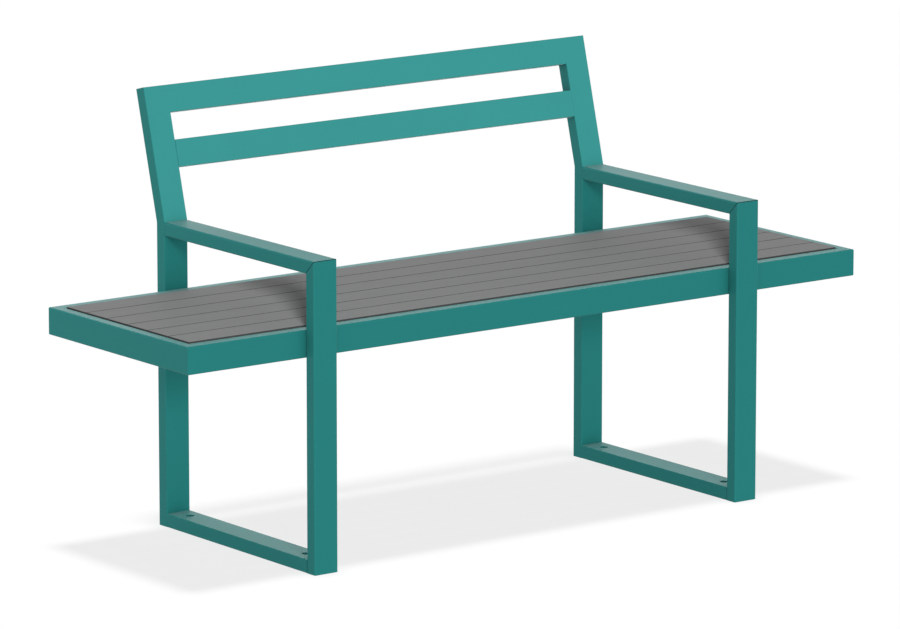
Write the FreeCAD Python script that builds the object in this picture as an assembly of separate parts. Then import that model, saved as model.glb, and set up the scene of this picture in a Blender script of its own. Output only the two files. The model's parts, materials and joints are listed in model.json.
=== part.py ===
"""Outdoor bench with arms and a low open back, built from welded rectangular steel tube.

Two closed side loops (front leg, armrest, rear post and floor rail) carry a framed seat of
lengthwise slats that runs out past them at both ends. The rear posts lean back above the
armrests and carry two rails with an open slot between them.

All lengths are millimetres. The origin lies on the floor under the middle of the bench's
overall box, +X runs along the bench, +Y points to its back and +Z points up.
"""
import FreeCAD, Part
import math
import os

Vector = FreeCAD.Vector

# Seat frame
seat_length = 1524.0
seat_depth = 444.5
seat_height = 444.5
seat_rail_height = 50.8
seat_rail_width = 25.4
seat_end_rail_width = 20.6
seat_corner_radius = 2.4

# Side loops
loop_span = 1016.0
leg_width = 50.8
leg_depth = 25.4
leg_corner_radius = 3.0
arm_height = 571.5
arm_thickness = 25.4
floor_rail_height = 25.4
post_depth = 25.4
post_corner_radius = 1.2

# Back
overall_height = 812.8
back_lean = 15.0
back_rail_height = 50.8
back_slot_height = 50.8

# Steel tube
tube_wall = 3.0

# Fine open seam round the mitre between armrest and front leg
mitre_seam_width = 0.8
mitre_seam_share_of_wall = 0.5

# Slats
slat_count = 6
slat_thickness = 19.05
slat_gap = 1.8
slat_end_gap = 0.8
slat_rise = 2.2
slat_edge_chamfer = 0.8

# Channels under the slats, open downwards
bearer_count = 5
bearer_width = 38.1
bearer_height = 25.4
bearer_wall = 3.0
bearer_inset = 76.2

# Slat screws, driven from below and drawn six-sided, because their threads are left out
screw_width = 4.8
screw_bite = 14.0
screw_head_width = 8.0
screw_head_height = 4.0
screw_pilot_clearance = 0.05
screw_pilot_runout = 1.0

# Slots in the channels, which let the slats grow and shrink with heat
screw_slot_length = 8.0
screw_slot_clearance = 0.4

# Bolts that hold the seat frame to the legs and posts, with their heads inside the seat rails
bolt_radius = 4.0
bolt_spacing = 25.4
bolt_height = 18.0
bolt_head_width = 13.0
bolt_head_height = 5.3
bolt_end_beyond_nut = 2.5
bolt_hole_clearance = 0.4
nut_width = 13.0
nut_thickness = 6.5
nut_thread_clearance = 0.05

# Windows in the seat rails' inner walls, through which the bolts are put in and turned
window_margin = 11.0
window_height = 20.0

# Anchor holes through the floor rails
anchor_hole_radius = 7.94
anchor_hole_inset = 38.1

# Plugs in the open lower ends of the legs and posts
plug_height = 16.0
plug_wall = 2.0
plug_clearance = 0.3
plug_recess = 0.5

# Lengths that follow from the ones above
lean_sine = math.sin(math.radians(back_lean))
lean_cosine = math.cos(math.radians(back_lean))
upright_length = (overall_height - arm_height) / lean_cosine
kink_drop = post_depth * math.tan(math.radians(back_lean / 2))
overall_depth = leg_depth + seat_depth + upright_length * lean_sine + post_depth * lean_cosine
leg_front_y = -overall_depth / 2
seat_front_y = leg_front_y + leg_depth
seat_back_y = seat_front_y + seat_depth
post_front_y = seat_back_y
seat_base_z = seat_height - seat_rail_height
arm_underside_z = arm_height - arm_thickness
loop_center_x = (loop_span - leg_width) / 2
inner_half_span = loop_span / 2 - leg_width
half_seat_length = seat_length / 2
half_slat_length = half_seat_length - seat_end_rail_width - slat_end_gap
opening_depth = seat_depth - 2 * seat_rail_width
slat_width = (opening_depth - (slat_count + 1) * slat_gap) / slat_count
slat_base_z = seat_height + slat_rise - slat_thickness
bearer_base_z = slat_base_z - bearer_height
bolt_z = seat_base_z + bolt_height

# Spare length by which a cutting tool runs past what it cuts
overrun = 5.0


def edges_along(bar, axis):
    """Return the edges of a bar that run along the axis, which is 0, 1 or 2."""
    found = []
    for edge in bar.Edges:
        direction = edge.tangentAt(edge.FirstParameter)
        if abs(direction[axis]) > 0.999:
            found.append(edge)
    return found


def rounded_bar(corner, size, axis, radius):
    """Return a solid bar with rounded edges along the axis.

    corner is the lowest corner, and size holds the three extents.
    """
    bar = Part.makeBox(*size, Vector(*corner))
    return bar.makeFillet(radius, edges_along(bar, axis))


def tube(corner, size, axis, radius):
    """Return a rectangular tube with open ends that runs along the axis."""
    outer = rounded_bar(corner, size, axis, radius)
    inner_corner = [value + tube_wall for value in corner]
    inner_size = [value - 2 * tube_wall for value in size]
    inner_corner[axis] = corner[axis] - overrun
    inner_size[axis] = size[axis] + 2 * overrun
    return outer.cut(Part.makeBox(*inner_size, Vector(*inner_corner)))


def prism(points, start, end):
    """Return the prism between two places along X of an outline of (y, z) points."""
    outline = [Vector(start, y, z) for y, z in points]
    outline.append(outline[0])
    face = Part.Face(Part.makePolygon(outline))
    return face.extrude(Vector(end - start, 0, 0))


def flat_prism(points, start, end):
    """Return the prism between two heights of an outline of (x, y) points."""
    outline = [Vector(x, y, start) for x, y in points]
    outline.append(outline[0])
    face = Part.Face(Part.makePolygon(outline))
    return face.extrude(Vector(0, 0, end - start))


def upright_prism(points, start, end):
    """Return the prism between two places along Y of an outline of (x, z) points."""
    outline = [Vector(x, start, z) for x, z in points]
    outline.append(outline[0])
    face = Part.Face(Part.makePolygon(outline))
    return face.extrude(Vector(0, end - start, 0))


def hex_prism(width, height, base, direction):
    """Return a hexagonal prism, with its width across flats, that starts at base."""
    circumradius = width / math.sqrt(3)
    corners = []
    for step in range(7):
        angle = math.radians(60 * step)
        corners.append(Vector(circumradius * math.cos(angle), circumradius * math.sin(angle), 0))
    head = Part.Face(Part.makePolygon(corners)).extrude(Vector(0, 0, height))
    head.Placement = FreeCAD.Placement(base, FreeCAD.Rotation(Vector(0, 0, 1), direction))
    return head


def mirrored_in_x(shape):
    """Return the shape mirrored to the other end of the bench."""
    return shape.mirror(Vector(0, 0, 0), Vector(1, 0, 0))


def mirrored_in_y(shape):
    """Return the shape mirrored from the front of the seat frame to its back."""
    return shape.mirror(Vector(0, (seat_front_y + seat_back_y) / 2, 0), Vector(0, 1, 0))


def leaned_back(shape):
    """Tilt a shape drawn upright at the origin and set it on top of the rear posts."""
    placed = shape.copy()
    placed.rotate(Vector(0, 0, 0), Vector(1, 0, 0), -back_lean)
    placed.translate(Vector(0, post_front_y, arm_height))
    return placed


def seat_bolt_columns():
    """Return the X of each seat bolt, which is the same at the front and at the back."""
    columns = []
    for side in (-1, 1):
        for offset in (-bolt_spacing / 2, bolt_spacing / 2):
            columns.append(side * loop_center_x + offset)
    return columns


def seat_bolt_holes():
    """Return the cutters for the bolt holes from the front seat rail into the front legs."""
    cutters = []
    for x in seat_bolt_columns():
        start = Vector(x, seat_front_y + tube_wall + overrun, bolt_z)
        length = 2 * tube_wall + 2 * overrun
        radius = bolt_radius + bolt_hole_clearance
        cutters.append(Part.makeCylinder(radius, length, start, Vector(0, -1, 0)))
    return cutters


def wrench_windows():
    """Return the cutters for the windows in the inner wall of the front seat rail."""
    length = bolt_spacing + 2 * window_margin
    depth = tube_wall + 2 * overrun
    base = bolt_z - window_height / 2
    cutters = []
    for side in (-1, 1):
        left = side * loop_center_x - length / 2
        front = seat_front_y + seat_rail_width - tube_wall - overrun
        cutters.append(Part.makeBox(length, depth, window_height, Vector(left, front, base)))
    return cutters


def front_leg():
    """Return the left front leg, which reaches the floor and is mitred under the armrest."""
    left = -loop_span / 2
    post = tube((left, leg_front_y, 0), (leg_width, leg_depth, arm_height), 2, leg_corner_radius)
    outline = [
        (leg_front_y, 0),
        (leg_front_y, arm_height),
        (seat_front_y, arm_underside_z),
        (seat_front_y, 0),
    ]
    post = post.common(prism(outline, left - overrun, left + leg_width + overrun))
    return post.cut(seat_bolt_holes())


def armrest():
    """Return the left armrest, mitred at its front, with a fine open seam round the mitre."""
    left = -loop_span / 2
    right = left + leg_width
    length = post_front_y - leg_front_y
    corner = (left, leg_front_y, arm_underside_z)
    arm = tube(corner, (leg_width, length, arm_thickness), 1, leg_corner_radius)
    outline = [
        (leg_front_y, arm_height),
        (post_front_y, arm_height),
        (post_front_y, arm_underside_z),
        (seat_front_y, arm_underside_z),
    ]
    arm = arm.common(prism(outline, left - overrun, right + overrun))
    shift = mitre_seam_width * math.hypot(leg_depth, arm_thickness) / arm_thickness
    seam_outline = [
        (leg_front_y, arm_height),
        (leg_front_y + shift, arm_height),
        (seat_front_y + shift, arm_underside_z),
        (seat_front_y, arm_underside_z),
    ]
    slab = prism(seam_outline, left - overrun, right + overrun)
    depth = tube_wall * mitre_seam_share_of_wall
    core_corner = (left + depth, leg_front_y - overrun, arm_underside_z + depth)
    core_size = (leg_width - 2 * depth, length, arm_thickness - 2 * depth)
    core_radius = leg_corner_radius - depth
    return arm.cut(slab.cut(rounded_bar(core_corner, core_size, 1, core_radius)))


def rear_post():
    """Return the left rear post, with its top cut to half the angle of the leaning back."""
    left = -loop_span / 2
    corner = (left, post_front_y, 0)
    post = tube(corner, (leg_width, post_depth, arm_height), 2, post_corner_radius)
    outline = [
        (post_front_y, 0),
        (post_front_y, arm_height),
        (post_front_y + post_depth, arm_height - kink_drop),
        (post_front_y + post_depth, 0),
    ]
    post = post.common(prism(outline, left - overrun, left + leg_width + overrun))
    return post.cut([mirrored_in_y(hole) for hole in seat_bolt_holes()])


def floor_rail():
    """Return the left floor rail, with an anchor hole through both walls near each end."""
    left = -loop_span / 2
    corner = (left, seat_front_y, 0)
    rail = tube(corner, (leg_width, seat_depth, floor_rail_height), 1, post_corner_radius)
    for y in (seat_front_y + anchor_hole_inset, post_front_y - anchor_hole_inset):
        start = Vector(-loop_center_x, y, -overrun)
        rail = rail.cut(Part.makeCylinder(anchor_hole_radius, floor_rail_height + 2 * overrun, start))
    return rail


def back_upright():
    """Return the left leaning upright, mitred into the top rail and cut to sit on its post."""
    left = -loop_span / 2
    right = left + leg_width
    bar = tube((left, 0, 0), (leg_width, post_depth, upright_length), 2, post_corner_radius)
    side_outline = [
        (0, 0),
        (0, upright_length),
        (post_depth, upright_length),
        (post_depth, kink_drop),
    ]
    front_outline = [
        (left, 0),
        (left, upright_length),
        (right, upright_length - back_rail_height),
        (right, 0),
    ]
    bar = bar.common(prism(side_outline, left - overrun, right + overrun))
    bar = bar.common(upright_prism(front_outline, -overrun, post_depth + overrun))
    return leaned_back(bar)


def back_top_rail():
    """Return the top rail of the back, mitred at both ends."""
    half = loop_span / 2
    base = upright_length - back_rail_height
    rail = tube((-half, 0, base), (loop_span, post_depth, back_rail_height), 0, post_corner_radius)
    outline = [
        (-half, upright_length),
        (half, upright_length),
        (inner_half_span, base),
        (-inner_half_span, base),
    ]
    return leaned_back(rail.common(upright_prism(outline, -overrun, post_depth + overrun)))


def back_lower_rail():
    """Return the lower rail of the back, which fits square between the uprights."""
    base = upright_length - 2 * back_rail_height - back_slot_height
    size = (2 * inner_half_span, post_depth, back_rail_height)
    return leaned_back(tube((-inner_half_span, 0, base), size, 0, post_corner_radius))


def seat_front_rail():
    """Return the front rail of the seat frame, mitred to the end rails and cut for its bolts."""
    corner = (-half_seat_length, seat_front_y, seat_base_z)
    rail = tube(corner, (seat_length, seat_rail_width, seat_rail_height), 0, seat_corner_radius)
    inner_x = half_seat_length - seat_end_rail_width
    inner_y = seat_front_y + seat_rail_width
    outline = [
        (-half_seat_length, seat_front_y),
        (half_seat_length, seat_front_y),
        (inner_x, inner_y),
        (-inner_x, inner_y),
    ]
    rail = rail.common(flat_prism(outline, seat_base_z - overrun, seat_height + overrun))
    return rail.cut(seat_bolt_holes() + wrench_windows())


def seat_end_rail():
    """Return the left end rail of the seat frame, mitred at both ends."""
    corner = (-half_seat_length, seat_front_y, seat_base_z)
    size = (seat_end_rail_width, seat_depth, seat_rail_height)
    rail = tube(corner, size, 1, seat_corner_radius)
    inner_x = half_seat_length - seat_end_rail_width
    outline = [
        (-half_seat_length, seat_front_y),
        (-half_seat_length, seat_back_y),
        (-inner_x, seat_back_y - seat_rail_width),
        (-inner_x, seat_front_y + seat_rail_width),
    ]
    return rail.common(flat_prism(outline, seat_base_z - overrun, seat_height + overrun))


def bearer_places():
    """Return the X of the middle of each channel, evenly spaced under the slats."""
    outermost = half_slat_length - bearer_inset
    spacing = 2 * outermost / (bearer_count - 1)
    return [-outermost + index * spacing for index in range(bearer_count)]


def slat_places():
    """Return the Y of the middle of each slat, from the front to the back."""
    first = seat_front_y + seat_rail_width + slat_gap + slat_width / 2
    return [first + index * (slat_width + slat_gap) for index in range(slat_count)]


def slat(middle_y):
    """Return one slat with eased edges and a blind pilot hole over each channel."""
    corner = Vector(-half_slat_length, middle_y - slat_width / 2, slat_base_z)
    board = Part.makeBox(2 * half_slat_length, slat_width, slat_thickness, corner)
    board = board.makeChamfer(slat_edge_chamfer, edges_along(board, 0))
    pilot_width = screw_width + 2 * screw_pilot_clearance
    depth = overrun + screw_bite + screw_pilot_runout
    pilots = []
    for x in bearer_places():
        start = Vector(x, middle_y, slat_base_z - overrun)
        pilots.append(hex_prism(pilot_width, depth, start, Vector(0, 0, 1)))
    return board.cut(pilots)


def bearer(middle_x):
    """Return one channel across the seat frame, with a slot for each slat's screw."""
    half = bearer_width / 2
    inner = half - bearer_wall
    web_base = slat_base_z - bearer_wall
    outline = [
        (middle_x - half, bearer_base_z),
        (middle_x - half, slat_base_z),
        (middle_x + half, slat_base_z),
        (middle_x + half, bearer_base_z),
        (middle_x + inner, bearer_base_z),
        (middle_x + inner, web_base),
        (middle_x - inner, web_base),
        (middle_x - inner, bearer_base_z),
    ]
    channel = upright_prism(outline, seat_front_y + seat_rail_width, seat_back_y - seat_rail_width)
    slot_width = screw_width + 2 * screw_slot_clearance
    slots = []
    for y in slat_places():
        slot_corner = Vector(middle_x - screw_slot_length / 2, y - slot_width / 2, web_base - overrun)
        slots.append(Part.makeBox(screw_slot_length, slot_width, bearer_wall + 2 * overrun, slot_corner))
    return channel.cut(slots)


def slat_screw(x, y):
    """Return one hexagon-head screw that holds a slat to a channel from below."""
    web_base = slat_base_z - bearer_wall
    upward = Vector(0, 0, 1)
    head_base = Vector(x, y, web_base - screw_head_height)
    head = hex_prism(screw_head_width, screw_head_height, head_base, upward)
    shank = hex_prism(screw_width, bearer_wall + screw_bite, Vector(x, y, web_base), upward)
    return head.fuse(shank).removeSplitter()


def seat_bolt(x):
    """Return one front bolt, from inside the seat rail through its wall and the leg's."""
    forward = Vector(0, -1, 0)
    head_base_y = seat_front_y + tube_wall
    length = 2 * tube_wall + nut_thickness + bolt_end_beyond_nut
    head_start = Vector(x, head_base_y + bolt_head_height, bolt_z)
    head = hex_prism(bolt_head_width, bolt_head_height, head_start, forward)
    shank = Part.makeCylinder(bolt_radius, length, Vector(x, head_base_y, bolt_z), forward)
    return head.fuse(shank).removeSplitter()


def seat_nut(x):
    """Return one front weld nut, on the inner face of the leg's rear wall."""
    forward = Vector(0, -1, 0)
    start = Vector(x, seat_front_y - tube_wall, bolt_z)
    nut = hex_prism(nut_width, nut_thickness, start, forward)
    return nut.cut(Part.makeCylinder(bolt_radius + nut_thread_clearance, nut_thickness, start, forward))


def foot_plug(middle_x, front_y, depth):
    """Return one moulded cup that closes the lower end of a leg or post."""
    inset = tube_wall + plug_clearance
    width = leg_width - 2 * inset
    thickness = depth - 2 * inset
    corner = Vector(middle_x - width / 2, front_y + inset, plug_recess)
    hollow_corner = corner + Vector(plug_wall, plug_wall, plug_wall)
    hollow = Part.makeBox(width - 2 * plug_wall, thickness - 2 * plug_wall, plug_height, hollow_corner)
    cup = Part.makeBox(width, thickness, plug_height, corner).cut(hollow)
    rib_corner = Vector(middle_x - plug_wall / 2, front_y + inset + plug_wall / 2, plug_recess)
    rib = Part.makeBox(plug_wall, thickness - plug_wall, plug_height - plug_wall, rib_corner)
    return cup.fuse(rib).removeSplitter()


def build_nodes():
    """Return every node of the bench by name, each as one solid or a group of solids."""
    nodes = {
        "left_front_leg": front_leg(),
        "left_armrest": armrest(),
        "left_rear_post": rear_post(),
        "left_floor_rail": floor_rail(),
        "left_back_upright": back_upright(),
        "seat_left_end_rail": seat_end_rail(),
    }
    for name in list(nodes):
        nodes[name.replace("left", "right")] = mirrored_in_x(nodes[name])
    nodes["back_top_rail"] = back_top_rail()
    nodes["back_lower_rail"] = back_lower_rail()
    nodes["seat_front_rail"] = seat_front_rail()
    nodes["seat_back_rail"] = mirrored_in_y(nodes["seat_front_rail"])
    for number, y in enumerate(slat_places(), start=1):
        nodes[f"seat_slat_{number}"] = slat(y)
    for number, x in enumerate(bearer_places(), start=1):
        nodes[f"slat_bearer_{number}"] = bearer(x)
    screws = [slat_screw(x, y) for x in bearer_places() for y in slat_places()]
    nodes["slat_screws"] = Part.makeCompound(screws)
    bolts = [seat_bolt(x) for x in seat_bolt_columns()]
    nodes["seat_frame_bolts"] = Part.makeCompound(bolts + [mirrored_in_y(bolt) for bolt in bolts])
    nuts = [seat_nut(x) for x in seat_bolt_columns()]
    nodes["seat_frame_nuts"] = Part.makeCompound(nuts + [mirrored_in_y(nut) for nut in nuts])
    plugs = []
    for middle_x in (-loop_center_x, loop_center_x):
        plugs.append(foot_plug(middle_x, leg_front_y, leg_depth))
        plugs.append(foot_plug(middle_x, post_front_y, post_depth))
    nodes["foot_plugs"] = Part.makeCompound(plugs)
    return nodes


def main():
    """Write one STEP file for each node and print its solids and volume."""
    os.makedirs("parts", exist_ok=True)
    for name, shape in build_nodes().items():
        print(f"{name}: {len(shape.Solids)} solid(s), {shape.Volume / 1000:.1f} cm3, valid {shape.isValid()}")
        shape.exportStep(f"parts/{name}.step")


main()
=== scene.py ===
"""Looks of an outdoor bench: teal steel tube, grey plastic lumber slats and what holds them together.

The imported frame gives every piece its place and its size. The steel tubes keep their solids and get
their paint here. The slats, the bent channels under them, the screws, bolts and nuts, and the plugs
in the legs are modelled again, finer than their solids. Lengths are metres, unless a name ends in
_mm, and angles are degrees.
"""

import json
import logging
import math
from dataclasses import dataclass
from enum import Enum
from typing import Any, Sequence

import bmesh
import bpy
from bmesh.types import BMEdge, BMVert, BMesh
from bpy.types import Collection, Material, Node, NodeSocket, NodeTree, Object
from mathutils import Euler, Matrix, Vector


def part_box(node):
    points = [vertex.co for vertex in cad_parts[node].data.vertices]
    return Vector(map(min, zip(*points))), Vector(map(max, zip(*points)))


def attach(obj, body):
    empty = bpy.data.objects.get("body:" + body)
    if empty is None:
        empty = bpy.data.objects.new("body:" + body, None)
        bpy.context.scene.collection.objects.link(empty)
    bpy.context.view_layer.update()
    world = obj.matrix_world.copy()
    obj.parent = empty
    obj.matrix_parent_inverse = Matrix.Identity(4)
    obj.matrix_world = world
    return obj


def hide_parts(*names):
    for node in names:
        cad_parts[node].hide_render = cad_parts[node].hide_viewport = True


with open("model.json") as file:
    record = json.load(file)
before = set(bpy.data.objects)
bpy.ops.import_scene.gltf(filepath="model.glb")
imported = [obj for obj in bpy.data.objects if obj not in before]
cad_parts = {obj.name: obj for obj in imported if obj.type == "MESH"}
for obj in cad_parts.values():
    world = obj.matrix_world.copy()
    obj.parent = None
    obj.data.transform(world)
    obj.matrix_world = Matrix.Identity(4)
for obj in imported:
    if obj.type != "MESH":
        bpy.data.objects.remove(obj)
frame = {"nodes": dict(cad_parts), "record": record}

MM = 0.001
BODY = "root"

# Walls of the steel tube and of the sheet that the channels are bent from
TUBE_WALL_MM = 3.0
SHEET_WALL_MM = 3.0

# How far a cutter runs past what it cuts
OVERRUN_MM = 1.0

# Edges that bend by more than these angles are rounded on a board or moulding, or sharp on a screw
ROUNDED_EDGE_ANGLE = 40.0
SHARP_EDGE_ANGLE = 30.0

logging.basicConfig(level=logging.INFO, format="%(message)s")
log = logging.getLogger("bench")


def numbered_nodes(prefix: str) -> list[str]:
    """Return the frame's nodes that are named by a prefix and a number, in the numbers' order."""
    named = [name for name in frame["nodes"] if name.startswith(prefix)]
    return sorted(named, key=lambda name: int(name[len(prefix):]))


SLAT_NODES = numbered_nodes("seat_slat_")
CHANNEL_NODES = numbered_nodes("slat_bearer_")


class Slot(Enum):
    """The record's material slots, of which the frame's picks the tubes that get the paint."""

    FRAME = "frame_powder_coat"
    SLATS = "seat_slats"
    HARDWARE = "hardware"
    PLUGS = "plugs"


class Combine(Enum):
    """How a tool shape is combined with a base shape."""

    CUT = "DIFFERENCE"
    KEEP_COMMON = "INTERSECT"


def linear_colour(hex_code: str) -> tuple[float, float, float, float]:
    """Turn an sRGB hex colour into the linear colour that a shader takes.

    Args:
        hex_code: The colour as a hash sign and six hex digits.

    Returns:
        Linear red, green and blue, and an alpha of 1.
    """
    channels = []
    for start in (1, 3, 5):
        value = int(hex_code[start:start + 2], 16) / 255
        # The sRGB curve is straight near black and a power above that.
        if value <= 0.04045:
            channels.append(value / 12.92)
        else:
            channels.append(((value + 0.055) / 1.055) ** 2.4)
    return (channels[0], channels[1], channels[2], 1.0)


def add_node(
    tree: NodeTree,
    kind: str,
    settings: dict[str, Any] | None = None,
    inputs: dict[str | int, Any] | None = None,
) -> Node:
    """Add one node to a node tree, with its settings and links.

    Args:
        tree: The node tree of a material or of the world.
        kind: The node's type name.
        settings: The node's own properties by name.
        inputs: A value, or an output to link from, for each input socket by name or number.

    Returns:
        The new node.
    """
    node = tree.nodes.new(kind)
    for name, value in (settings or {}).items():
        setattr(node, name, value)
    for name, value in (inputs or {}).items():
        if isinstance(value, NodeSocket):
            tree.links.new(value, node.inputs[name])
        else:
            node.inputs[name].default_value = value
    return node


def new_material(name: str) -> Material:
    """Make an empty node material.

    Args:
        name: The material's name.

    Returns:
        The material, with no node.
    """
    material = bpy.data.materials.new(name)
    material.use_nodes = True
    material.node_tree.nodes.clear()
    return material


def noise(tree: NodeTree, place: NodeSocket, size_mm: float, detail: float) -> NodeSocket:
    """Add an uneven pattern.

    Args:
        tree: The material's node tree.
        place: The object coordinates.
        size_mm: About how wide the pattern's patches are.
        detail: How many finer patterns lie over it.

    Returns:
        The pattern's output, from 0 to 1.
    """
    pattern = add_node(tree, "ShaderNodeTexNoise", inputs={
        "Vector": place,
        "Scale": 1 / (size_mm * MM),
        "Detail": detail,
    })
    return pattern.outputs["Fac"]


def between(tree: NodeTree, share: NodeSocket, start: float, end: float) -> NodeSocket:
    """Return an output that goes from start to end as a share goes from 0 to 1."""
    mapped = add_node(tree, "ShaderNodeMapRange", inputs={"Value": share, "To Min": start, "To Max": end})
    return mapped.outputs["Result"]


def mixed(
    tree: NodeTree, share: NodeSocket, first: NodeSocket | str, second: NodeSocket | str
) -> NodeSocket:
    """Mix two colours, each an output or a hex code.

    Args:
        tree: The material's node tree.
        share: How much of the second colour there is, from 0 to 1.
        first: The colour at a share of 0.
        second: The colour at a share of 1.

    Returns:
        The mixed colour's output.
    """
    mix = add_node(tree, "ShaderNodeMix", {"data_type": "RGBA"}, {
        "Factor": share,
        "A": linear_colour(first) if isinstance(first, str) else first,
        "B": linear_colour(second) if isinstance(second, str) else second,
    })
    return mix.outputs[2]


def bumps(tree: NodeTree, height: NodeSocket, depth_mm: float, strength: float) -> NodeSocket:
    """Turn a pattern into small bumps.

    Args:
        tree: The material's node tree.
        height: The pattern, from 0 to 1.
        depth_mm: The height of the bumps.
        strength: How much of them shows, from 0 to 1.

    Returns:
        The output of the bumped surface's normal.
    """
    bump = add_node(tree, "ShaderNodeBump", inputs={
        "Strength": strength,
        "Distance": depth_mm * MM,
        "Height": height,
    })
    return bump.outputs["Normal"]


def add_surface(tree: NodeTree, inputs: dict[str | int, Any]) -> None:
    """Add a material's shader with these inputs, and its output."""
    shader = add_node(tree, "ShaderNodeBsdfPrincipled", inputs=inputs)
    add_node(tree, "ShaderNodeOutputMaterial", inputs={"Surface": shader.outputs["BSDF"]})


@dataclass(frozen=True)
class SatinPowderCoat:
    """Polyester powder coat, sprayed on dry and baked on the steel.

    It gives the eye an even satin skin, with a faint orange peel and no grain. The open mitre between
    each front leg and its armrest is drawn as a thin dark line of painted shade, for the shade inside
    the gap. Painted shade also darkens the coat softly where tubes meet, because several of the lamps
    cast no shadow that would.
    """

    mitre_front: float
    mitre_top: float
    mitre_height_mm: float = 26.0
    colour: str = "#257D7A"
    deeper_colour: str = "#257A77"
    # Painted shade for the open mitre, where shade falls inside the gap
    painted_seam_shade_colour: str = "#031C1C"
    smoothest: float = 0.43
    roughest: float = 0.47
    # Real paint's 1.5 would mirror the lamps more than the photograph shows.
    ior: float = 1.15
    haze: float = 0.14
    haze_roughness: float = 0.3
    cloud_mm: float = 140.0
    orange_peel_mm: float = 2.4
    orange_peel_depth_mm: float = 0.012
    orange_peel_strength: float = 0.5
    seam_mm: float = 1.4
    # Painted shade near other tubes: how many rays, how far they look, how strong and how dark it gets
    painted_shade_samples: int = 8
    painted_shade_reach_mm: float = 120.0
    # A quite closed corner would lose this share of its colour to painted shade, but stops at the darkest.
    painted_shade_strength: float = 1.36
    darkest_painted_shade: float = 0.5

    def seam(self, tree: NodeTree, place: NodeSocket) -> NodeSocket:
        """Find where the coat lies in the open mitre, which painted shade draws as a dark line.

        Args:
            tree: The coat's node tree.
            place: The coat's object coordinates.

        Returns:
            An output that is 1 in the mitre and 0 elsewhere.
        """
        across = add_node(tree, "ShaderNodeVectorMath", {"operation": "DOT_PRODUCT"}, {
            0: place,
            1: (0.0, 1.0, 1.0),
        })
        # The seam is 0.8 mm wide, and is drawn wider so that it shows from a few metres away.
        inside = add_node(tree, "ShaderNodeMath", {"operation": "COMPARE"}, {
            0: across.outputs["Value"],
            1: self.mitre_front + self.mitre_top,
            2: self.seam_mm * MM / 2 * math.sqrt(2),
        })
        height = add_node(tree, "ShaderNodeSeparateXYZ", inputs={0: place})
        above = add_node(tree, "ShaderNodeMath", {"operation": "GREATER_THAN"}, {
            0: height.outputs["Z"],
            1: self.mitre_top - self.mitre_height_mm * MM,
        })
        both = add_node(tree, "ShaderNodeMath", {"operation": "MULTIPLY"}, {
            0: inside.outputs["Value"],
            1: above.outputs["Value"],
        })
        return both.outputs["Value"]

    def painted_shade_near_tubes(self, tree: NodeTree) -> NodeSocket:
        """Find how much of the coat's colour is left near other tubes, where painted shade darkens it.

        Args:
            tree: The coat's node tree.

        Returns:
            An output that is 1 on an open face and falls to the darkest value in a deep corner.
        """
        openness = add_node(tree, "ShaderNodeAmbientOcclusion", {"samples": self.painted_shade_samples}, {
            "Distance": self.painted_shade_reach_mm * MM,
        })
        closed = add_node(tree, "ShaderNodeMath", {"operation": "SUBTRACT"}, {
            0: 1.0,
            1: openness.outputs["AO"],
        })
        # Squared, the painted shade keeps to a few centimetres round a corner.
        squared = add_node(tree, "ShaderNodeMath", {"operation": "POWER"}, {
            0: closed.outputs["Value"],
            1: 2.0,
        })
        light = add_node(tree, "ShaderNodeMapRange", inputs={
            "Value": squared.outputs["Value"],
            "From Max": (1.0 - self.darkest_painted_shade) / self.painted_shade_strength,
            "To Min": 1.0,
            "To Max": self.darkest_painted_shade,
        })
        return light.outputs["Result"]

    def material(self) -> Material:
        """Build the powder coat.

        Returns:
            The finished material.
        """
        material = new_material("satin_powder_coat")
        tree = material.node_tree
        place = add_node(tree, "ShaderNodeTexCoord").outputs["Object"]
        cloud = noise(tree, place, self.cloud_mm, 2.0)
        coat = mixed(tree, cloud, self.colour, self.deeper_colour)
        # Painted shade: the coat is darkened near other tubes, and in the open mitre.
        coat_with_painted_shade = add_node(tree, "ShaderNodeVectorMath", {"operation": "SCALE"}, {
            0: mixed(tree, self.seam(tree, place), coat, self.painted_seam_shade_colour),
            "Scale": self.painted_shade_near_tubes(tree),
        })
        # A baked coat's orange peel is about 1 mm wide, and is drawn wider so that it shows up close.
        peel = noise(tree, place, self.orange_peel_mm, 1.0)
        add_surface(tree, {
            "Base Color": coat_with_painted_shade.outputs["Vector"],
            "Roughness": between(tree, cloud, self.smoothest, self.roughest),
            "IOR": self.ior,
            "Sheen Weight": self.haze,
            "Sheen Roughness": self.haze_roughness,
            "Normal": bumps(tree, peel, self.orange_peel_depth_mm, self.orange_peel_strength),
        })
        return material


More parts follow.
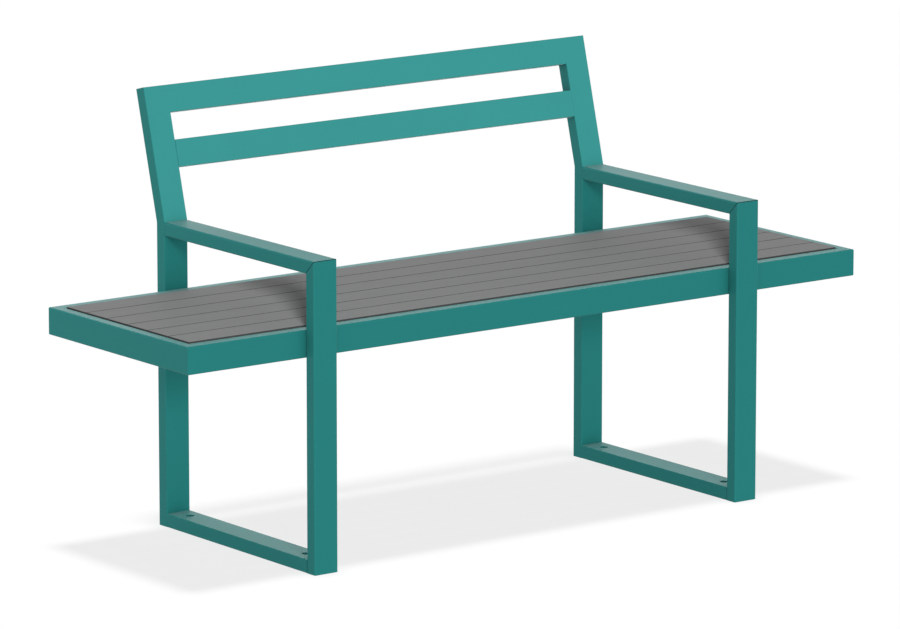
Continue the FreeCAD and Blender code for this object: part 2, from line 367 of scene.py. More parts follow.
@dataclass(frozen=True)
class PlasticLumber:
    """Recycled polyethylene lumber, extruded and lightly brushed along its length.

    It gives the eye a dull grey face with fine long streaks and no shine. The narrow sides and ends
    get a near-black painted shade, which draws a fine dark line round a board and in the gaps between
    boards.
    """

    colour: str = "#6F6F6F"
    streak_colour: str = "#696969"
    # Painted shade for the sides and ends, which stands for the shade in the gaps between boards
    painted_side_shade_colour: str = "#151616"
    roughness: float = 0.72
    ior: float = 1.4
    streak_width_mm: float = 2.0
    streak_length_mm: float = 90.0
    brush_depth_mm: float = 0.03
    brush_strength: float = 0.6
    # How level a face is, from 0 to 1, where the painted shade of the sides ends and where the brushed face
    # starts
    side_shade_level: float = 0.97
    brushed_level: float = 0.998

    def streaks(self, tree: NodeTree) -> NodeSocket:
        """Draw the marks of the brush.

        Args:
            tree: The lumber's node tree.

        Returns:
            An output that is 0 in a streak and 1 between two.
        """
        across = 1 / (self.streak_width_mm * MM)
        along = 1 / (self.streak_length_mm * MM)
        stretched = add_node(tree, "ShaderNodeMapping", inputs={
            "Vector": add_node(tree, "ShaderNodeTexCoord").outputs["Object"],
            "Scale": (along, across, across),
        })
        pattern = add_node(tree, "ShaderNodeTexNoise", inputs={
            "Vector": stretched.outputs["Vector"],
            "Scale": 1.0,
            "Detail": 4.0,
            "Roughness": 0.6,
        })
        contrast = add_node(tree, "ShaderNodeMapRange", inputs={
            "Value": pattern.outputs["Fac"],
            "From Min": 0.35,
            "From Max": 0.65,
        })
        return contrast.outputs["Result"]

    def brushed(self, tree: NodeTree) -> NodeSocket:
        """Find where the brush reached; the sides and ends outside it get painted shade.

        Args:
            tree: The lumber's node tree.

        Returns:
            An output that is 1 on the level faces and 0 on the sides and ends.
        """
        facing = add_node(tree, "ShaderNodeSeparateXYZ", inputs={
            0: add_node(tree, "ShaderNodeNewGeometry").outputs["Normal"],
        })
        level = add_node(tree, "ShaderNodeMath", {"operation": "ABSOLUTE"}, {0: facing.outputs["Z"]})
        face = add_node(tree, "ShaderNodeMapRange", inputs={
            "Value": level.outputs["Value"],
            "From Min": self.side_shade_level,
            "From Max": self.brushed_level,
        })
        return face.outputs["Result"]

    def material(self) -> Material:
        """Build the lumber.

        Returns:
            The finished material.
        """
        material = new_material("brushed_plastic_lumber")
        tree = material.node_tree
        streaks = self.streaks(tree)
        face_colour = mixed(tree, streaks, self.streak_colour, self.colour)
        add_surface(tree, {
            # Painted shade: the sides and ends take the near-black colour, and the level faces the streaked
            # grey.
            "Base Color": mixed(tree, self.brushed(tree), self.painted_side_shade_colour, face_colour),
            "Roughness": self.roughness,
            "IOR": self.ior,
            "Normal": bumps(tree, streaks, self.brush_depth_mm, self.brush_strength),
        })
        return material


@dataclass(frozen=True)
class BrightZincPlate:
    """Bright zinc plate on rolled and cold-headed steel.

    It gives the eye a cool silvery metal that is slightly cloudy, as plated screws are.
    """

    colour: str = "#C4C8CC"
    cloudy_colour: str = "#A9AEB4"
    smoothest: float = 0.26
    roughest: float = 0.42
    cloud_mm: float = 3.0

    def material(self) -> Material:
        """Build the zinc plate.

        Returns:
            The finished material.
        """
        material = new_material("bright_zinc_plate")
        tree = material.node_tree
        place = add_node(tree, "ShaderNodeTexCoord").outputs["Object"]
        cloud = noise(tree, place, self.cloud_mm, 3.0)
        add_surface(tree, {
            "Base Color": mixed(tree, cloud, self.colour, self.cloudy_colour),
            "Metallic": 1.0,
            "Roughness": between(tree, cloud, self.smoothest, self.roughest),
        })
        return material


@dataclass(frozen=True)
class MouldedPolyethylene:
    """Black low-density polyethylene, moulded in a spark-eroded tool.

    It gives the eye a soft waxy black with a fine pebbled grain.
    """

    colour: str = "#1C1D1E"
    roughness: float = 0.55
    ior: float = 1.51
    grain_mm: float = 0.9
    grain_depth_mm: float = 0.02
    grain_strength: float = 0.7

    def material(self) -> Material:
        """Build the polyethylene.

        Returns:
            The finished material.
        """
        material = new_material("moulded_polyethylene")
        tree = material.node_tree
        # Spark-eroded grain is a few tenths of a millimetre wide, and is drawn wider so that it shows.
        grain = add_node(tree, "ShaderNodeTexVoronoi", inputs={
            "Vector": add_node(tree, "ShaderNodeTexCoord").outputs["Object"],
            "Scale": 1 / (self.grain_mm * MM),
        })
        add_surface(tree, {
            "Base Color": linear_colour(self.colour),
            "Roughness": self.roughness,
            "IOR": self.ior,
            "Normal": bumps(tree, grain.outputs["Distance"], self.grain_depth_mm, self.grain_strength),
        })
        return material


def object_from(shape: BMesh, name: str) -> Object:
    """Turn a finished shape into an object of the scene and free the shape.

    Args:
        shape: The shape, already in its place.
        name: The name of the object and of its mesh.

    Returns:
        The new object, which lies at the origin, unturned and unscaled.
    """
    mesh = bpy.data.meshes.new(name)
    shape.to_mesh(mesh)
    shape.free()
    made = bpy.data.objects.new(name, mesh)
    bpy.context.scene.collection.objects.link(made)
    return made


def add_piece(shape: BMesh, name: str, material: Material, node: str) -> Object:
    """Add a finished piece, which rides on the bench and stands for a node of the frame.

    Args:
        shape: The piece's shape, in its place.
        name: The piece's name.
        material: Its finish.
        node: The node of the frame that the piece replaces.

    Returns:
        The piece's object.
    """
    piece = object_from(shape, name)
    piece.data.materials.append(material)
    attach(piece, BODY)
    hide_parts(node)
    log.info("%s: %d faces", name, len(piece.data.polygons))
    return piece


def soften_edges(piece: Object, width_mm: float, segments: int = 2) -> None:
    """Round the sharp edges of a piece and shade the rounding smoothly into flat faces.

    Args:
        piece: The piece's object.
        width_mm: The width of the rounding.
        segments: The number of its segments.
    """
    for face in piece.data.polygons:
        face.use_smooth = True
    bevel = piece.modifiers.new("soft_edges", "BEVEL")
    bevel.width = width_mm * MM
    bevel.segments = segments
    bevel.limit_method = "ANGLE"
    bevel.angle_limit = math.radians(ROUNDED_EDGE_ANGLE)
    flat = piece.modifiers.new("flat_faces", "WEIGHTED_NORMAL")
    flat.mode = "FACE_AREA"


def shade_turned(piece: Object) -> None:
    """Shade a turned piece smoothly between its sharp edges."""
    piece.data.shade_smooth()
    piece.data.set_sharp_from_angle(angle=math.radians(SHARP_EDGE_ANGLE))


def block(low: Vector, high: Vector) -> BMesh:
    """Make a box.

    Args:
        low: Its lowest corner.
        high: Its highest corner.

    Returns:
        The box's shape.
    """
    shape = bmesh.new()
    bmesh.ops.create_cube(shape, size=1.0)
    bmesh.ops.scale(shape, vec=high - low, verts=shape.verts)
    bmesh.ops.translate(shape, vec=(low + high) / 2, verts=shape.verts)
    return shape


def edges_along(shape: BMesh, axis: int) -> list[BMEdge]:
    """Find the edges of a shape that run along an axis.

    Args:
        shape: The shape.
        axis: 0, 1 or 2 for X, Y or Z.

    Returns:
        The edges, in the shape's order.
    """
    parallel = 0.999
    found = []
    for edge in shape.edges:
        direction = (edge.verts[1].co - edge.verts[0].co).normalized()
        if abs(direction[axis]) > parallel:
            found.append(edge)
    return found


def round_edges(shape: BMesh, edges: Sequence[BMEdge], radius_mm: float, segments: int) -> None:
    """Round some edges of a shape.

    Args:
        shape: The shape that is changed.
        edges: The edges to round.
        radius_mm: The radius of the rounding.
        segments: The number of its segments.
    """
    bmesh.ops.bevel(
        shape, geom=edges, offset=radius_mm * MM, offset_type="OFFSET", affect="EDGES",
        segments=segments, profile=0.5, material=-1,
    )


def turned(profile_mm: Sequence[tuple[float, float]], steps: int) -> BMesh:
    """Turn a profile round the Z axis.

    Args:
        profile_mm: The profile's points, as radius and height.
        steps: The number of steps in the full turn.

    Returns:
        The turned shape, closed at its poles.
    """
    same_point = 0.001 * MM
    shape = bmesh.new()
    points = [shape.verts.new((radius * MM, 0.0, height * MM)) for radius, height in profile_mm]
    edges = [shape.edges.new(pair) for pair in zip(points, points[1:])]
    bmesh.ops.spin(
        shape, geom=points + edges, cent=(0, 0, 0), axis=(0, 0, 1), dvec=(0, 0, 0),
        angle=math.tau, steps=steps, use_merge=True, use_duplicate=False,
    )
    bmesh.ops.remove_doubles(shape, verts=shape.verts, dist=same_point)
    bmesh.ops.recalc_face_normals(shape, faces=shape.faces)
    return shape


def hexagon_bar(width_mm: float, base_mm: float, top_mm: float) -> BMesh:
    """Make a six-sided bar on the Z axis, with two of its corners on the X axis.

    Args:
        width_mm: Its width across flats.
        base_mm: The height of its base.
        top_mm: The height of its top.

    Returns:
        The bar's shape.
    """
    shape = bmesh.new()
    radius = width_mm * MM / math.sqrt(3)
    bmesh.ops.create_cone(
        shape, cap_ends=True, cap_tris=False, segments=6, radius1=radius, radius2=radius,
        depth=(top_mm - base_mm) * MM,
    )
    corners_to_x_axis = Matrix.Rotation(math.radians(30), 3, "Z")
    bmesh.ops.rotate(shape, cent=(0, 0, 0), matrix=corners_to_x_axis, verts=shape.verts)
    bmesh.ops.translate(shape, vec=(0, 0, (top_mm + base_mm) / 2 * MM), verts=shape.verts)
    return shape


def combined(base: BMesh, tool: BMesh, how: Combine) -> BMesh:
    """Cut one shape by another.

    Args:
        base: The shape that is kept in part, which is freed.
        tool: The shape that cuts it, which is freed.
        how: Whether the common part or the rest is kept.

    Returns:
        The new shape.
    """
    base_object = object_from(base, "base_shape")
    tool_object = object_from(tool, "tool_shape")
    cut = base_object.modifiers.new("cut", "BOOLEAN")
    cut.object = tool_object
    cut.operation = how.value
    cut.solver = "EXACT"
    graph = bpy.context.evaluated_depsgraph_get()
    mesh = bpy.data.meshes.new_from_object(base_object.evaluated_get(graph))
    shape = bmesh.new()
    shape.from_mesh(mesh)
    for leftover in (base_object, tool_object):
        spare = leftover.data
        bpy.data.objects.remove(leftover)
        bpy.data.meshes.remove(spare)
    bpy.data.meshes.remove(mesh)
    return shape


def gathered(shapes: Sequence[BMesh], places: Sequence[Matrix]) -> BMesh:
    """Copy a set of shapes to each place and join all the copies in one shape.

    Args:
        shapes: The shapes, which are freed.
        places: Where the copies go.

    Returns:
        The joined shape.
    """
    whole = bmesh.new()
    for shape in shapes:
        mesh = bpy.data.meshes.new("copied_shape")
        shape.to_mesh(mesh)
        shape.free()
        for place in places:
            placed = mesh.copy()
            placed.transform(place)
            whole.from_mesh(placed)
            bpy.data.meshes.remove(placed)
        bpy.data.meshes.remove(mesh)
    return whole


def thread(
    root_mm: float, crest_mm: float, start_mm: float, end_mm: float, pitch_mm: float
) -> list[tuple[float, float]]:
    """Draw a screw thread as rings, from its start to its end.

    Args:
        root_mm: The radius at the bottom of the thread.
        crest_mm: The radius at its top.
        start_mm: The height where it starts.
        end_mm: The height where it ends.
        pitch_mm: The height of one turn.

    Returns:
        The profile's points, as radius and height.
    """
    turns = int(abs(end_mm - start_mm) / pitch_mm)
    step = (end_mm - start_mm) / turns
    points = []
    for turn in range(turns):
        points.append((root_mm, start_mm + turn * step))
        points.append((crest_mm, start_mm + (turn + 0.5) * step))
    points.append((root_mm, end_mm))
    return points


@dataclass
class SteelFrame:
    """The welded tubes of the bench, whose solids already have the right shape."""

    material: Material
    slot: Slot = Slot.FRAME

    def dress(self) -> None:
        """Paint every tube of the frame."""
        for part in frame["record"]["subparts"]:
            name = part["node"]
            if part["material_slot"] != self.slot.value or name in CHANNEL_NODES:
                continue
            for material_slot in frame["nodes"][name].material_slots:
                material_slot.material = self.material
            log.info("%s: painted", name)


@dataclass
class SeatSlats:
    """The boards of the seat."""

    material: Material
    edge_radius_mm: float = 0.7
    edge_segments: int = 4
    sawn_edge_mm: float = 0.3

    def build(self) -> list[Object]:
        """Model each board with rounded long edges and eased sawn ends.

        Returns:
            The boards, from the front.
        """
        boards = []
        for number, node in enumerate(SLAT_NODES, start=1):
            board = block(*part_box(node))
            round_edges(board, edges_along(board, 0), self.edge_radius_mm, self.edge_segments)
            piece = add_piece(board, f"slat_board_{number}", self.material, node)
            soften_edges(piece, self.sawn_edge_mm)
            boards.append(piece)
        return boards


@dataclass
class SlatChannels:
    """The channels, bent from sheet steel, that carry the slats between the seat rails."""

    material: Material
    wall_mm: float = SHEET_WALL_MM
    bend_radius_mm: float = 4.5
    bend_segments: int = 6
    slot_length_mm: float = 8.0
    slot_width_mm: float = 5.6
    slot_end_flat_mm: float = 0.01
    slot_segments: int = 6
    sheared_edge_mm: float = 0.3

    def slots(self, middle_x: float, web_z: float) -> BMesh:
        """Make the cutters for the rounded slots in the web of one channel.

        Args:
            middle_x: The middle of the channel along the bench.
            web_z: The height of the middle of its web.

        Returns:
            The cutters in one shape.
        """
        cutter_height_mm = 4 * self.wall_mm
        half = Vector((self.slot_length_mm, self.slot_width_mm, cutter_height_mm)) * MM / 2
        cutter = block(-half, half)
        end_radius_mm = self.slot_width_mm / 2 - self.slot_end_flat_mm
        round_edges(cutter, edges_along(cutter, 2), end_radius_mm, self.slot_segments)
        places = []
        for node in SLAT_NODES:
            low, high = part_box(node)
            places.append(Matrix.Translation((middle_x, (low.y + high.y) / 2, web_z)))
        return gathered([cutter], places)

    def channel(self, low: Vector, high: Vector) -> BMesh:
        """Bend one channel from flat sheet.

        Args:
            low: The lowest corner of its node.
            high: The highest corner of its node.

        Returns:
            The channel with its slots.
        """
        near_top = high.z - 0.1 * MM
        sheet = bmesh.new()
        outline = [(low.x, low.z), (low.x, high.z), (high.x, high.z), (high.x, low.z)]
        corners = [sheet.verts.new((x, low.y, z)) for x, z in outline]
        edges = [sheet.edges.new(pair) for pair in zip(corners, corners[1:])]
        drawn = bmesh.ops.extrude_edge_only(sheet, edges=edges)
        far = [item for item in drawn["geom"] if isinstance(item, BMVert)]
        bmesh.ops.translate(sheet, vec=(0, high.y - low.y, 0), verts=far)
        bends = [edge for edge in edges_along(sheet, 1) if edge.verts[0].co.z > near_top]
        round_edges(sheet, bends, self.bend_radius_mm, self.bend_segments)
        # The sheet gets its wall on the side away from its normals, so the web's has to point up.
        bmesh.ops.recalc_face_normals(sheet, faces=sheet.faces)
        if sum(face.normal.z for face in sheet.faces) < 0:
            bmesh.ops.reverse_faces(sheet, faces=sheet.faces)
        bmesh.ops.solidify(sheet, geom=sheet.faces[:], thickness=self.wall_mm * MM)
        web_z = high.z - self.wall_mm * MM / 2
        return combined(sheet, self.slots((low.x + high.x) / 2, web_z), Combine.CUT)

    def build(self) -> None:
        """Model every channel."""
        for number, node in enumerate(CHANNEL_NODES, start=1):
            channel = self.channel(*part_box(node))
            piece = add_piece(channel, f"bent_channel_{number}", self.material, node)
            soften_edges(piece, self.sheared_edge_mm)


@dataclass
class SlatScrews:
    """The hexagon washer-head screws that hold the slats down to the channels from below."""

    material: Material
    sheet_wall_mm: float = SHEET_WALL_MM
    head_width_mm: float = 8.0
    head_height_mm: float = 4.0
    head_chamfer_mm: float = 0.6
    head_chamfer_height_mm: float = 0.55
    head_in_washer_mm: float = 0.2
    washer_radius_mm: float = 6.2
    washer_height_mm: float = 0.9
    washer_edge_mm: float = 0.2
    washer_rim_mm: float = 0.5
    washer_lip_mm: float = 0.3
    washer_root_mm: float = 0.4
    shank_radius_mm: float = 2.4
    root_radius_mm: float = 1.8
    bite_mm: float = 14.0
    point_mm: float = 2.5
    pitch_mm: float = 1.8
    plain_shank_mm: float = 0.4
    shank_in_washer_mm: float = 0.3
    head_steps: int = 48
    washer_steps: int = 36
    shank_steps: int = 20

    def head(self) -> BMesh:
        """Model the six-sided head, whose upper end is sunk in the washer.

        Returns:
            The head, upside down under the origin.
        """
        corner = self.head_width_mm / math.sqrt(3)
        bottom = -self.head_height_mm
        top = -self.head_in_washer_mm
        blank = turned([
            (0, bottom),
            (self.head_width_mm / 2 - self.head_chamfer_mm, bottom),
            (corner, bottom + self.head_chamfer_height_mm),
            (corner, top),
            (0, top),
        ], self.head_steps)
        bar = hexagon_bar(self.head_width_mm, bottom - OVERRUN_MM, top + OVERRUN_MM)
        return combined(blank, bar, Combine.KEEP_COMMON)

    def washer(self) -> BMesh:
        """Model the washer, flat above, with an eased rim and a slope down to the head.

        Returns:
            The washer, with its flat side at the origin.
        """
        rim = self.washer_radius_mm
        edge = self.washer_edge_mm
        root = self.head_width_mm / 2 + self.washer_root_mm
        return turned([
            (0, 0),
            (rim - edge, 0),
            (rim, -edge),
            (rim, -self.washer_rim_mm),
            (rim - self.washer_lip_mm, -self.washer_rim_mm - edge),
            (root, -self.washer_height_mm),
            (0, -self.washer_height_mm),
        ], self.washer_steps)

    def shank(self) -> BMesh:
        """Model the shank, plain through the channel and threaded above it.

        Returns:
            The shank, pointing up from inside the washer.
        """
        start = -self.shank_in_washer_mm
        wall = self.sheet_wall_mm
        top = wall + self.bite_mm
        profile = [(0, start), (self.shank_radius_mm, start), (self.shank_radius_mm, wall)]
        profile += thread(
            self.root_radius_mm, self.shank_radius_mm, wall + self.plain_shank_mm,
            top - self.point_mm, self.pitch_mm,
        )
        profile.append((0, top))
        return turned(profile, self.shank_steps)

    def build(self) -> None:
        """Model the screw once and set a copy at each crossing of a slat and a channel."""
        places = []
        for channel in CHANNEL_NODES:
            low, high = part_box(channel)
            for slat in SLAT_NODES:
                front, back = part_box(slat)
                middle = Vector(((low.x + high.x) / 2, (front.y + back.y) / 2, 0))
                middle.z = high.z - self.sheet_wall_mm * MM
                places.append(Matrix.Translation(middle))
        shape = gathered([self.head(), self.washer(), self.shank()], places)
        shade_turned(add_piece(shape, "slat_screw_set", self.material, "slat_screws"))


@dataclass
class SeatBolts:
    """The bolts and weld nuts that join the seat rails to the legs and posts."""

    material: Material
    spacing_mm: float = 25.4
    height_mm: float = 18.0
    tube_wall_mm: float = TUBE_WALL_MM
    radius_mm: float = 4.0
    root_radius_mm: float = 3.4
    pitch_mm: float = 1.25
    thread_start_mm: float = 0.2
    point_mm: float = 0.6
    point_inset_mm: float = 0.5
    head_width_mm: float = 13.0
    head_height_mm: float = 5.3
    washer_face_mm: float = 0.3
    washer_face_inset_mm: float = 0.5
    shank_in_head_mm: float = 0.1
    nut_width_mm: float = 13.0
    nut_height_mm: float = 6.5
    nut_clearance_mm: float = 0.05
    end_beyond_nut_mm: float = 2.5
    chamfer_mm: float = 0.35
    chamfer_angle: float = 30.0
    blank_spare_mm: float = 0.01
    head_steps: int = 48
    washer_face_steps: int = 36
    shank_steps: int = 24

    def hexagon(self, width_mm: float, base_mm: float, top_mm: float, both_ends: bool) -> BMesh:
        """Model a hexagon with turned chamfers, as forged heads and nuts have.

        Args:
            width_mm: Its width across flats.
            base_mm: The height of its base.
            top_mm: The height of its top.
            both_ends: Whether the base is chamfered as well as the top.

        Returns:
            The hexagon on the Z axis.
        """
        corner = width_mm / math.sqrt(3)
        flat = width_mm / 2 - self.chamfer_mm
        drop = (corner - flat) * math.tan(math.radians(self.chamfer_angle))
        blank_radius = corner + self.blank_spare_mm
        profile = [(0, top_mm), (flat, top_mm), (blank_radius, top_mm - drop)]
        if both_ends:
            profile += [(blank_radius, base_mm + drop), (flat, base_mm), (0, base_mm)]
        else:
            profile += [(blank_radius, base_mm), (0, base_mm)]
        bar = hexagon_bar(width_mm, base_mm - OVERRUN_MM, top_mm + OVERRUN_MM)
        return combined(turned(profile, self.head_steps), bar, Combine.KEEP_COMMON)

    def bolt(self) -> list[BMesh]:
        """Model one bolt that points down, with the underside of its head at the origin.

        Returns:
            The head, the washer face under it and the threaded shank.
        """
        head = self.hexagon(self.head_width_mm, self.washer_face_mm, self.head_height_mm, False)
        face = self.head_width_mm / 2 - self.washer_face_inset_mm
        washer_face = turned(
            [(0, 0), (face, 0), (face, self.washer_face_mm), (0, self.washer_face_mm)],
            self.washer_face_steps,
        )
        end = -(2 * self.tube_wall_mm + self.nut_height_mm + self.end_beyond_nut_mm)
        profile = [(0, self.shank_in_head_mm), (self.radius_mm, self.shank_in_head_mm)]
        profile += thread(
            self.root_radius_mm, self.radius_mm, -self.thread_start_mm, end + self.point_mm, self.pitch_mm,
        )
        profile += [(self.root_radius_mm - self.point_inset_mm, end), (0, end)]
        return [head, washer_face, turned(profile, self.shank_steps)]

    def nut(self) -> list[BMesh]:
        """Model one nut under the origin, with its bore a little over the bolt.

        Returns:
            The nut, alone in a list.
        """
        hexagon = self.hexagon(self.nut_width_mm, -self.nut_height_mm, 0, True)
        bore = self.radius_mm + self.nut_clearance_mm
        above = OVERRUN_MM
        below = -self.nut_height_mm - OVERRUN_MM
        tool = turned([(0, above), (bore, above), (bore, below), (0, below)], self.shank_steps)
        return [combined(hexagon, tool, Combine.CUT)]

    def places(self, rise_mm: float) -> list[Matrix]:
        """Find where the bolts go, front and back, with their heads inside the seat rails.

        Args:
            rise_mm: How far along the bolt, from its head towards its end, the place lies.

        Returns:
            One place for each bolt, with its end pointing out of the seat.
        """
        found = []
        for rail, leg, outward in (("seat_front_rail", "front_leg", -1), ("seat_back_rail", "rear_post", 1)):
            low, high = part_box(rail)
            face = low.y if outward < 0 else high.y
            y = face - outward * (self.tube_wall_mm - rise_mm) * MM
            turn = Euler((outward * math.radians(90), 0, 0)).to_matrix().to_4x4()
            for side in ("left", "right"):
                leg_low, leg_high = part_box(f"{side}_{leg}")
                for step in (-0.5, 0.5):
                    x = (leg_low.x + leg_high.x) / 2 + step * self.spacing_mm * MM
                    found.append(Matrix.Translation((x, y, low.z + self.height_mm * MM)) @ turn)
        return found

    def build(self) -> None:
        """Model a bolt and a nut once each and set copies in the rails and legs."""
        bolts = gathered(self.bolt(), self.places(0.0))
        nuts = gathered(self.nut(), self.places(2 * self.tube_wall_mm))
        for shape, name, node in (
            (bolts, "seat_bolt_set", "seat_frame_bolts"),
            (nuts, "weld_nut_set", "seat_frame_nuts"),
        ):
            shade_turned(add_piece(shape, name, self.material, node))


@dataclass
class FootPlugs:
    """The moulded plugs that close the lower ends of the legs and posts."""

    material: Material
    tube_wall_mm: float = TUBE_WALL_MM
    clearance_mm: float = 0.3
    recess_mm: float = 0.5
    height_mm: float = 16.0
    wall_mm: float = 2.0
    corner_radius_mm: float = 1.4
    corner_segments: int = 4
    soft_edge_mm: float = 0.35

    def plug(self, low: Vector, high: Vector) -> BMesh:
        """Model the plug of one leg or post as a cup, open upwards.

        Args:
            low: The lowest corner of the leg's node.
            high: The highest corner of the leg's node.

        Returns:
            The cup.
        """
        inset = (self.tube_wall_mm + self.clearance_mm) * MM
        base = Vector((low.x + inset, low.y + inset, self.recess_mm * MM))
        top = Vector((high.x - inset, high.y - inset, (self.recess_mm + self.height_mm) * MM))
        cup = block(base, top)
        round_edges(cup, edges_along(cup, 2), self.corner_radius_mm, self.corner_segments)
        mouth = max(cup.faces, key=lambda face: face.calc_center_median().z)
        bmesh.ops.inset_region(cup, faces=[mouth], thickness=self.wall_mm * MM, use_even_offset=True)
        sunk = bmesh.ops.extrude_discrete_faces(cup, faces=[mouth])["faces"]
        depth = (self.height_mm - self.wall_mm) * MM
        bmesh.ops.translate(cup, vec=(0, 0, -depth), verts=sunk[0].verts)
        return cup

    def build(self) -> None:
        """Model the four plugs in one piece."""
        legs = ("left_front_leg", "left_rear_post", "right_front_leg", "right_rear_post")
        whole = gathered([self.plug(*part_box(leg)) for leg in legs], [Matrix()])
        piece = add_piece(whole, "foot_plug_set", self.material, "foot_plugs")
        soften_edges(piece, self.soft_edge_mm)


@dataclass(frozen=True)
class Softbox:
    """One round area lamp that faces a point of the bench.

    Its azimuth turns it from the front towards the bench's right, and its elevation lifts it. Its level
    is how brightly it lights white card.
    """

    name: str
    azimuth: float
    elevation: float
    distance: float
    size: float
    level: float
    target: tuple[float, float, float] = (0.0, 0.0, 0.4)
    casts_shadow: bool = True


@dataclass
class Studio:
    """A plain pale floor, soft light and the camera at the photograph's place."""

    slats: Sequence[Object]
    floor_half_size: float = 60.0
    # The paint takes the bench's shadow, and the lift makes up the white that the camera sees.
    floor_paint: float = 0.15
    floor_lift: float = 0.812
    floor_bounce: float = 0.12
    sky_level: float = 0.15
    sky_seen: float = 1.0
    drop_light_level: float = 1.13
    drop_light_angle: float = 7.5
    softboxes: Sequence[Softbox] = (
        Softbox("front_softbox", azimuth=-18.0, elevation=17.0, distance=30.0, size=5.0, level=0.25),
        Softbox(
            "front_fill", azimuth=-12.0, elevation=10.0, distance=30.0, size=4.4, level=0.395,
            casts_shadow=False,
        ),
        Softbox(
            "left_softbox", azimuth=-105.0, elevation=12.0, distance=4.0, size=1.2, level=0.24,
            casts_shadow=False,
        ),
        Softbox("right_softbox", azimuth=100.0, elevation=8.0, distance=8.0, size=3.0, level=0.30),
        Softbox("back_softbox", azimuth=180.0, elevation=8.0, distance=8.0, size=3.0, level=0.36),
        Softbox(
            "rear_softbox", azimuth=150.0, elevation=30.0, distance=6.0, size=4.0, level=0.09,
            casts_shadow=False,
        ),
        Softbox(
            "fill_softbox", azimuth=0.0, elevation=90.0, distance=8.0, size=3.0, level=0.22,
            casts_shadow=False,
        ),
    )
    slat_softbox: Softbox = Softbox(
        "slat_softbox", azimuth=-30.0, elevation=16.0, distance=12.0, size=2.6, level=2.45,
    )
    lean_softbox: Softbox = Softbox(
        "lean_softbox", azimuth=33.0, elevation=14.0, distance=30.0, size=10.0, level=0.39,
    )
    leaning_nodes: Sequence[str] = (
        "left_back_upright", "right_back_upright", "back_top_rail", "back_lower_rail",
    )
    camera_place: tuple[float, float, float] = (-7.05393, -9.49489, 2.77514)
    camera_azimuth: float = -36.6098
    camera_elevation: float = 11.4962
    camera_lens: float = 260.33
    camera_sensor: float = 36.0

    def strength(self, tree: NodeTree, given: float, seen: float) -> NodeSocket:
        """Choose how bright a surface is, for the eye and for the other surfaces.

        Args:
            tree: The node tree of the floor or of the surroundings.
            given: The strength of the light that it gives to other surfaces.
            seen: The strength that the camera sees, also in a mirror or through glass.

        Returns:
            The strength's output.
        """
        rays = add_node(tree, "ShaderNodeLightPath")
        direct = add_node(tree, "ShaderNodeMath", {"operation": "MAXIMUM"}, {
            0: rays.outputs["Is Camera Ray"],
            1: rays.outputs["Is Glossy Ray"],
        })
        shown = add_node(tree, "ShaderNodeMath", {"operation": "MAXIMUM"}, {
            0: direct.outputs["Value"],
            1: rays.outputs["Is Transmission Ray"],
        })
        return between(tree, shown.outputs["Value"], given, seen)

    def add_floor(self) -> Object:
        """Add the floor, which the camera and mirrors see as white with the bench's shadow on it.

        Returns:
            The floor's object.
        """
        shape = bmesh.new()
        bmesh.ops.create_grid(shape, x_segments=1, y_segments=1, size=self.floor_half_size)
        floor = object_from(shape, "studio_floor")
        material = new_material("matt_white_floor_paint")
        tree = material.node_tree
        paint = add_node(tree, "ShaderNodeBsdfDiffuse", inputs={
            "Color": (self.floor_paint, self.floor_paint, self.floor_paint, 1.0),
        })
        glow = add_node(tree, "ShaderNodeEmission", inputs={
            "Strength": self.strength(tree, self.floor_bounce, self.floor_lift),
        })
        both = add_node(tree, "ShaderNodeAddShader", inputs={
            0: paint.outputs["BSDF"],
            1: glow.outputs["Emission"],
        })
        # From below the floor is clear, so that the underside of the bench can be looked at.
        from_below = add_node(tree, "ShaderNodeMixShader", inputs={
            0: add_node(tree, "ShaderNodeNewGeometry").outputs["Backfacing"],
            1: both.outputs["Shader"],
            2: add_node(tree, "ShaderNodeBsdfTransparent").outputs["BSDF"],
        })
        add_node(tree, "ShaderNodeOutputMaterial", inputs={"Surface": from_below.outputs["Shader"]})
        floor.data.materials.append(material)
        # The floor shades nothing, because all the lamps are above it. So the coat's painted corner shade
        # leaves it out.
        floor.visible_shadow = False
        return floor

    def add_world(self) -> None:
        """Add the surroundings: white where they are seen, and an even soft light elsewhere."""
        world = bpy.data.worlds.new("studio_surroundings")
        world.use_nodes = True
        tree = world.node_tree
        tree.nodes.clear()
        background = add_node(tree, "ShaderNodeBackground", inputs={
            "Color": (1.0, 1.0, 1.0, 1.0),
            "Strength": self.strength(tree, self.sky_level, self.sky_seen),
        })
        add_node(tree, "ShaderNodeOutputWorld", inputs={"Surface": background.outputs["Background"]})
        bpy.context.scene.world = world
        # Even surroundings have no bright spot to aim at.
        world.cycles.sampling_method = "NONE"

    def add_lamp(self, name: str, kind: str, receivers: Collection) -> Object:
        """Add a lamp to the scene, unseen by the camera.

        Args:
            name: The lamp's name.
            kind: SUN or AREA.
            receivers: What its light reaches.

        Returns:
            The lamp's object.
        """
        lamp = bpy.data.objects.new(name, bpy.data.lights.new(name, kind))
        bpy.context.scene.collection.objects.link(lamp)
        lamp.visible_camera = False
        lamp.light_linking.receiver_collection = receivers
        return lamp

    def add_softbox(self, box: Softbox, receivers: Collection) -> None:
        """Add one soft box.

        Args:
            box: Its place, size and level.
            receivers: What its light reaches.
        """
        lamp = self.add_lamp(box.name, "AREA", receivers)
        lamp.data.shape = "DISK"
        lamp.data.size = box.size
        lamp.data.energy = box.level * 4 * math.pi * box.distance ** 2
        lamp.data.use_shadow = box.casts_shadow
        azimuth = math.radians(box.azimuth)
        elevation = math.radians(box.elevation)
        away = Vector((
            math.sin(azimuth) * math.cos(elevation),
            -math.cos(azimuth) * math.cos(elevation),
            math.sin(elevation),
        ))
        lamp.location = Vector(box.target) + away * box.distance
        lamp.rotation_euler = away.to_track_quat("Z", "Y").to_euler()

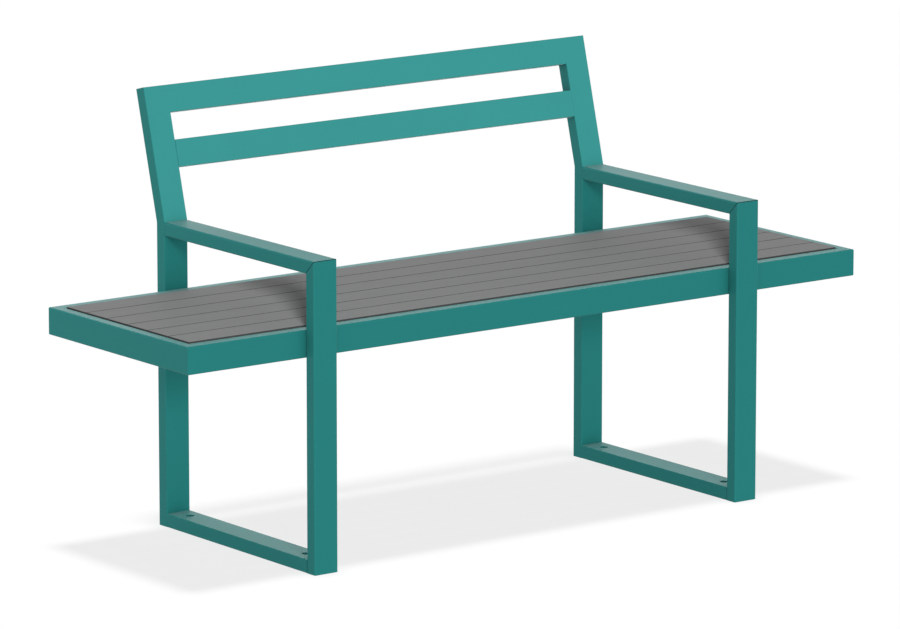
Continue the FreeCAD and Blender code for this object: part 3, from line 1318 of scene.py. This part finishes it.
    def light_group(self, name: str, members: Sequence[Object]) -> Collection:
        """Gather objects in a collection to which a lamp's light can be linked.

        Args:
            name: The collection's name.
            members: The objects in it.

        Returns:
            The collection.
        """
        collection = bpy.data.collections.new(name)
        for member in members:
            collection.objects.link(member)
        return collection

    def add_lamps(self, floor: Object) -> None:
        """Add the lamps, each with what it reaches.

        The soft boxes light the frame and its fittings, the slats and the leaning back have a lamp of
        their own, and the drop light sends the bench's shadow straight down to the floor.

        Args:
            floor: The floor, which only the drop light reaches.
        """
        leaning = [frame["nodes"][node] for node in self.leaning_nodes]
        all_but_these = self.light_group("softboxes_leave_out", [floor, *self.slats])
        for left_out in all_but_these.collection_objects:
            left_out.light_linking.link_state = "EXCLUDE"
        floor_only = self.light_group("drop_light_reaches", [floor])
        back_only = self.light_group("lean_softbox_reaches", leaning)
        slats_only = self.light_group("slat_softbox_reaches", self.slats)
        for box in self.softboxes:
            self.add_softbox(box, all_but_these)
        self.add_softbox(self.slat_softbox, slats_only)
        self.add_softbox(self.lean_softbox, back_only)
        drop = self.add_lamp("drop_light", "SUN", floor_only)
        drop.data.angle = math.radians(self.drop_light_angle)
        drop.data.energy = self.drop_light_level * math.pi

    def add_camera(self) -> None:
        """Add the camera, fitted to the straight edges of the bench in the photograph."""
        data = bpy.data.cameras.new("photo_camera")
        data.sensor_fit = "HORIZONTAL"
        data.sensor_width = self.camera_sensor
        data.lens = self.camera_lens
        data.clip_end = 2 * self.floor_half_size
        camera = bpy.data.objects.new("photo_camera", data)
        camera.location = self.camera_place
        tilt = math.radians(90 - self.camera_elevation)
        camera.rotation_euler = Euler((tilt, 0, math.radians(self.camera_azimuth)))
        bpy.context.scene.collection.objects.link(camera)
        bpy.context.scene.camera = camera

    def build(self) -> None:
        """Set up the camera, the floor, the surroundings and the lamps."""
        self.add_camera()
        self.add_world()
        self.add_lamps(self.add_floor())
        bpy.context.scene.view_settings.view_transform = "Standard"
        log.info("studio: %d soft boxes", len(self.softboxes))


def main() -> None:
    """Dress the bench, build its finer pieces and set up the studio."""
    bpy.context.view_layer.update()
    leg_low, leg_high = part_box("left_front_leg")
    paint = SatinPowderCoat(mitre_front=leg_low.y, mitre_top=leg_high.z).material()
    zinc = BrightZincPlate().material()
    SteelFrame(paint).dress()
    slats = SeatSlats(PlasticLumber().material()).build()
    SlatChannels(paint).build()
    SlatScrews(zinc).build()
    SeatBolts(zinc).build()
    FootPlugs(MouldedPolyethylene().material()).build()
    Studio(slats).build()


if __name__ == "__main__":
    main()
